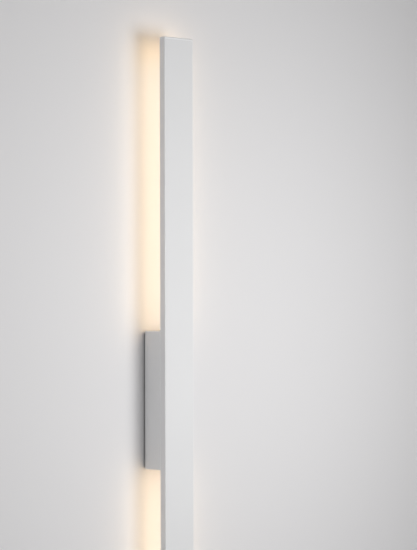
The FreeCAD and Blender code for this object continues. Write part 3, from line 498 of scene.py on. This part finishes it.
plane("floor", [(-FLOOR_HALF, -FLOOR_HALF, -FLOOR_DROP), (FLOOR_HALF, -FLOOR_HALF, -FLOOR_DROP),
                (FLOOR_HALF, FLOOR_HALF, -FLOOR_DROP), (-FLOOR_HALF, FLOOR_HALF, -FLOOR_DROP)],
      paint_floor())
print("floor", round(FLOOR_DROP / MM), "mm under the light's middle")

# %% [markdown]
# ## Light in the room
# A pale sky all round gives soft light without hard shadows. To a look it is paler than the light
# that it gives, so that the ground behind the light can be pale while the light stays low.

# %% Sky
SKY_LIGHT = 0.395
SKY_SHOWN = 0.79


def make_sky():
    world = bpy.data.worlds.new("room")
    world.use_nodes = True
    tree = world.node_tree
    shown = tree.nodes["Background"]
    light = tree.nodes.new("ShaderNodeBackground")
    for sky, strength in ((shown, SKY_SHOWN), (light, SKY_LIGHT)):
        sky.inputs["Strength"].default_value = strength
        sky.inputs["Color"].default_value = (1, 1, 1, 1)
    blend_shaders(tree, looks(tree), light.outputs["Background"], shown.outputs["Background"])
    bpy.context.scene.world = world


make_sky()
print("sky lights at", SKY_LIGHT, "and shows at", SKY_SHOWN)

# %% [markdown]
# ## Lamps
# One large soft lamp in front, to the right of the light and at the height of its box, brightens
# the wall in a wide pool and the bar's face with it, and leaves the bar's left side greyer. A sun
# would light the wall evenly, without that pool. The lamp has a grid like a studio lamp's, so its
# light fades to the sides. A weak lamp far to the left lifts the left sides of the bar and the box
# a little, as a white card would. Two lamps behind the wall serve only the views from behind: from
# the front the wall stops them.

# %% Room lamps
def lamp(name, place, target, width, watts, spread=math.pi):
    """A round soft lamp at place that faces target."""
    data = bpy.data.lights.new(name, "AREA")
    data.shape = "DISK"
    data.size = width
    data.energy = watts
    data.spread = spread
    thing = bpy.data.objects.new(name, data)
    thing.location = place
    thing.rotation_euler = (Vector(target) - Vector(place)).to_track_quat("-Z", "Y").to_euler()
    thing.visible_camera = False
    bpy.context.scene.collection.objects.link(thing)


lamp("front_lamp", place=(0.42, -1.20, 0.02), target=(0, 0, 0.135), width=0.80, watts=2.16,
     spread=math.radians(77.5))
lamp("left_card", place=(-1.60, -0.35, 0.10), target=(0, -0.02, 0.10), width=0.5, watts=1.3)
lamp("back_lamp_left", place=(-1.4, 1.6, 0.9), target=(0, 0, 0), width=1.2, watts=14.0)
lamp("back_lamp_right", place=(1.4, 1.8, 0.5), target=(0, 0, 0), width=1.2, watts=10.0)
print("room lamps:", len(bpy.data.lights))

# %% [markdown]
# ## Light from the strips
# Slim lamps on each strip shine at the wall, 31 mm away. They are cleaner to trace than a glowing
# mesh. They keep to the outer parts of the strip, where the white sides of the bar's channel add
# to the light. A white LED looks warmer from the side than from the front, so there are two kinds:
# straight ones are whiter and light the wall behind the bar, and leaning ones are warmer and throw
# an amber edge outwards. Where a strip ends, its last LEDs reach the wall from one side only, so
# the leaning ones take over there in a deeper amber, and a wide one leans along the bar past its
# end.

# %% A slim lamp
GLOW_INNER = 11.0 * MM
GLOW_OUTER = 21.5 * MM
GLOW_WIDTH = GLOW_OUTER - GLOW_INNER


def glow_lamp(name, centre, width, length, radiance, colour, lean_out=0.0, lean_along=0.0):
    """A slim lamp that faces the wall. Radiance is what a patch of it shows, whatever its size."""
    data = bpy.data.lights.new(name, "AREA")
    data.shape = "RECTANGLE"
    data.size = width
    data.size_y = length
    data.energy = radiance * math.pi * width * length
    data.color = colour
    slim = bpy.data.objects.new(name, data)
    slim.location = centre
    slim.rotation_euler = (math.pi / 2 + lean_along, 0, -lean_out)
    slim.visible_camera = False
    bpy.context.scene.collection.objects.link(slim)


print("slim lamps are", round(GLOW_WIDTH / MM, 1), "mm wide")

# %% Slim lamps on both strips
STRAIGHT_LIGHT = (1.0, 0.79, 0.57)
STRAIGHT_GAP = 2.0 * MM
LEANING_LIGHT = (1.0, 0.63, 0.17)
LEANING_GAP = 3.6 * MM
LEANING_TILT = math.radians(40)
NEAR_BOX_LENGTH = 18.0 * MM
NEAR_END_LENGTH = 24.0 * MM
# Radiance of the straight and of the leaning lamps in each stretch of a strip.
GLOW_ZONES = {"near_box": (1.75, 1.7), "middle": (1.82, 1.15), "near_end": (0.0, 2.25)}
END_LIGHT = (1.0, 0.57, 0.10)
END_GAP = 4.0 * MM
END_RADIANCE = 1.1
END_TILT = math.radians(35)

for name in ("upper_diffuser", "lower_diffuser"):
    low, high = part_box(name)
    up = 1 if low.z > 0 else -1
    near, far = sorted((low.z, high.z), key=abs)
    marks = (near, near + up * NEAR_BOX_LENGTH, far - up * NEAR_END_LENGTH, far)
    for zone, start, stop in zip(GLOW_ZONES, marks, marks[1:]):
        straight, leaning = GLOW_ZONES[zone]
        leaning_light = END_LIGHT if zone == "near_end" else LEANING_LIGHT
        middle, length = (start + stop) / 2, abs(stop - start)
        for hand in (-1, 1):
            aside = hand * (GLOW_OUTER + GLOW_INNER) / 2
            if straight:
                glow_lamp(f"{name}_{zone}", (aside, high.y + STRAIGHT_GAP, middle),
                          GLOW_WIDTH, length, straight, STRAIGHT_LIGHT)
            glow_lamp(f"{name}_{zone}_side", (aside, high.y + LEANING_GAP, middle),
                      GLOW_WIDTH, length, leaning, leaning_light, lean_out=hand * LEANING_TILT)
    glow_lamp(f"{name}_end", (0, high.y + END_GAP, far - up * NEAR_END_LENGTH / 2),
              2 * GLOW_OUTER, NEAR_END_LENGTH, END_RADIANCE, END_LIGHT, lean_along=up * END_TILT)
    print(name, "glows over", round((high.z - low.z) / MM), "mm")

# %% [markdown]
# ## Camera
# The picture is taken from the left with a long lens, level with the box. Its vertical lines stay
# parallel. A camera tilted up would make them meet, so this one stays level and its lens is
# shifted up instead, as an architecture photographer works.

# %% A level camera with a shifted lens
PICTURE = (417, 550)
FOCAL_PX = 2220.7
AXIS_ROW = 304.8
SENSOR_MM = 36.0
CAMERA_MM = (-1884.7, -2050.5, 118.5)
CAMERA_YAW = math.radians(43.9)
CAMERA_ROLL = math.radians(-0.114)
CLIP_NEAR, CLIP_FAR = 0.05, 60

camera = bpy.data.objects.new("camera", bpy.data.cameras.new("camera"))
camera.data.sensor_width = SENSOR_MM
camera.data.lens = FOCAL_PX / PICTURE[1] * SENSOR_MM
camera.data.shift_y = (AXIS_ROW - PICTURE[1] / 2) / PICTURE[1]
camera.data.clip_start, camera.data.clip_end = CLIP_NEAR, CLIP_FAR
look = Vector((math.sin(CAMERA_YAW), math.cos(CAMERA_YAW), 0))
level = look.to_track_quat("-Z", "Y").to_matrix()
camera.rotation_euler = (level @ Matrix.Rotation(CAMERA_ROLL, 3, "Z")).to_euler()
camera.location = Vector(CAMERA_MM) * MM
bpy.context.scene.collection.objects.link(camera)
bpy.context.scene.camera = camera
bpy.context.scene.view_settings.view_transform = "Standard"
print("lens", round(camera.data.lens, 1), "mm, shift", round(camera.data.shift_y, 4))
